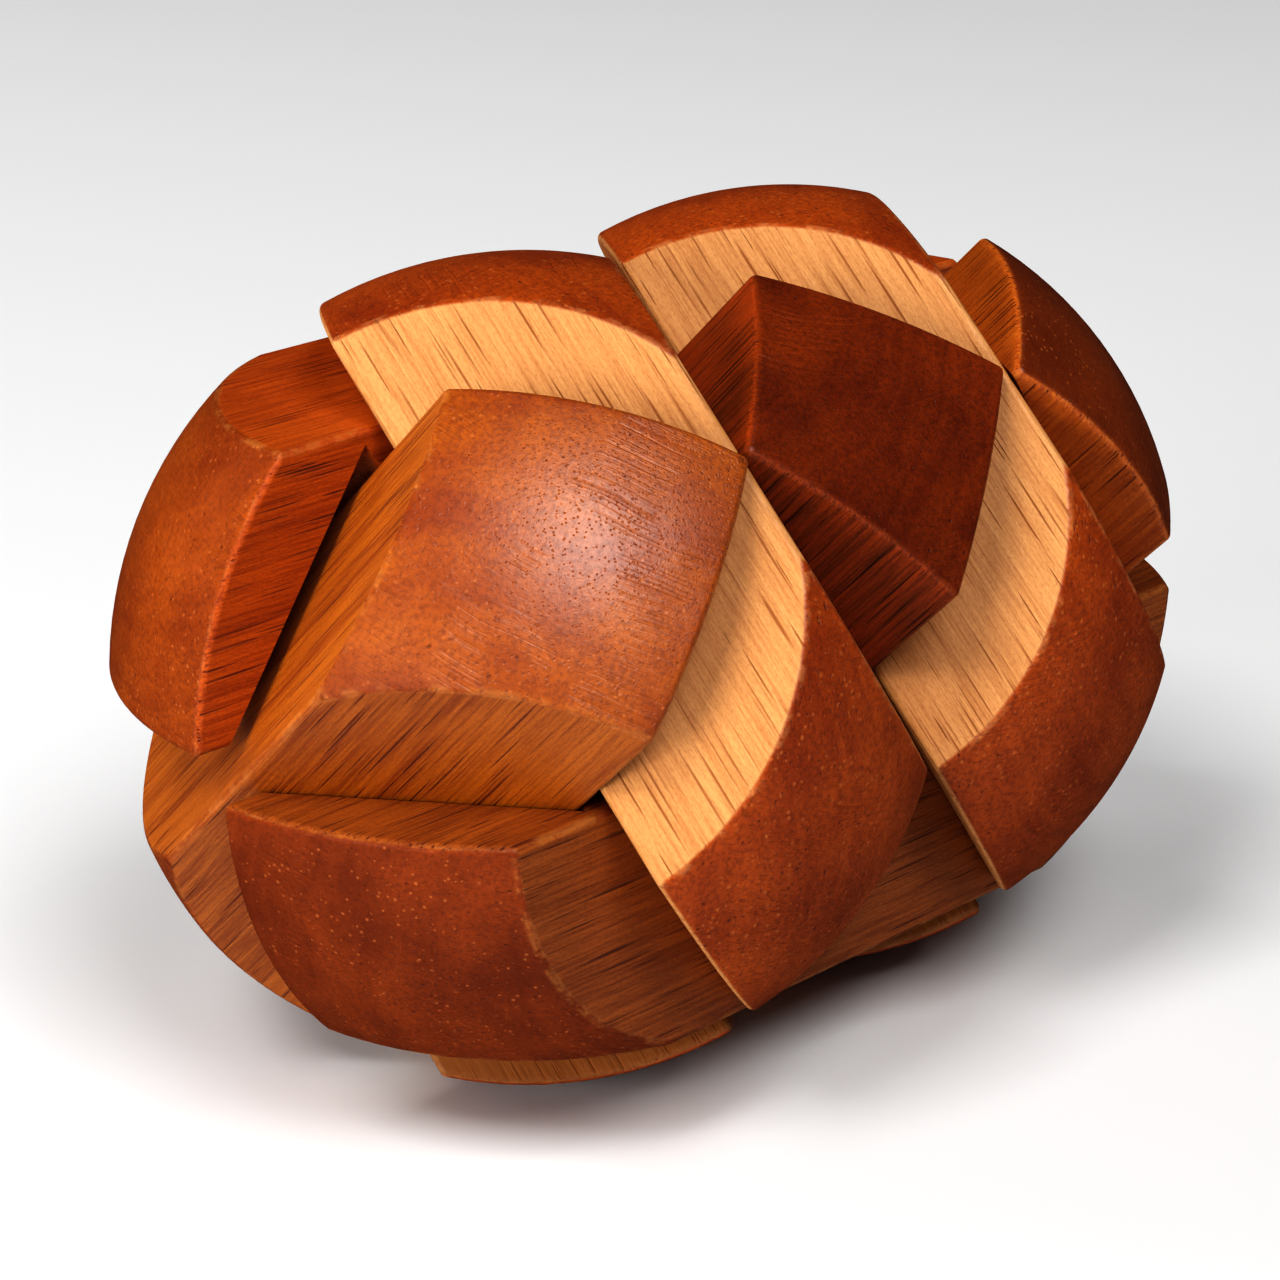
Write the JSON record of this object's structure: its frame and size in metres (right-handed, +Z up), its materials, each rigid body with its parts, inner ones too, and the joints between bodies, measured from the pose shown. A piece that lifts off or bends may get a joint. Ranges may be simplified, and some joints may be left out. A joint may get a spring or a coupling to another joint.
{
  "type": "wooden burr puzzle",
  "caption": "Double-ball burr puzzle of interlocking square wooden sticks turned 45 degrees, with rounded stick ends and a plain sliding key stick.",
  "frame": {"origin": "middle of the key stick, which is the middle of the whole puzzle", "axes": "+X along the two long bars, from the left ball to the right; +Z up as the puzzle lies on its two lower cross bars; the key slides along (0, -1, 1)"},
  "size_m": [0.0896, 0.0612, 0.061],
  "materials": {
    "golden_wood": "satin oiled wood",
    "brown_wood": "satin oiled wood",
    "dark_wood": "satin oiled wood"
  },
  "bodies": {
    "lower_cross_bars": {"lower_left_bar": "golden_wood", "lower_right_bar": "golden_wood"},
    "upper_left_cross_bar": {"upper_left_bar": "golden_wood"},
    "upper_right_cross_bar": {"upper_right_bar": "golden_wood"},
    "front_long": {"front_long_bar": "brown_wood"},
    "rear_long": {"rear_long_bar": "brown_wood"},
    "left_end": {"left_end_bar": "brown_wood"},
    "right_end": {"right_end_bar": "brown_wood"},
    "key": {"key_bar": "dark_wood"}
  },
  "joints": [
    {"name": "expand", "type": "slide", "parent": "lower_cross_bars", "child": "upper_left_cross_bar", "axis": [0, -0.7071, 0.7071], "range_m": [0, 0.016]},
    {"name": "expand_upper_right", "type": "slide", "parent": "lower_cross_bars", "child": "upper_right_cross_bar", "axis": [0, -0.7071, 0.7071], "range_m": [0, 0.016]},
    {"name": "expand_front_long", "type": "slide", "parent": "lower_cross_bars", "child": "front_long", "axis": [0, -1, 0], "range_m": [0, 0.01131]},
    {"name": "expand_rear_long", "type": "slide", "parent": "lower_cross_bars", "child": "rear_long", "axis": [0, 0, 1], "range_m": [0, 0.01131]},
    {"name": "expand_left_end", "type": "slide", "parent": "lower_cross_bars", "child": "left_end", "axis": [-0.7071, -0.5, 0.5], "range_m": [0, 0.01131]},
    {"name": "expand_right_end", "type": "slide", "parent": "lower_cross_bars", "child": "right_end", "axis": [0.7071, -0.5, 0.5], "range_m": [0, 0.01131]},
    {"name": "key_slide", "type": "slide", "parent": "lower_cross_bars", "child": "key", "axis": [0, -0.7071, 0.7071], "range_m": [-0.064, 0.064]}
  ],
  "couplings": [
    {"joint": "expand_upper_right", "follows": "expand", "ratio": 1},
    {"joint": "expand_front_long", "follows": "expand", "ratio": 0.70711},
    {"joint": "expand_rear_long", "follows": "expand", "ratio": 0.70711},
    {"joint": "expand_left_end", "follows": "expand", "ratio": 0.70711},
    {"joint": "expand_right_end", "follows": "expand", "ratio": 0.70711}
  ]
}
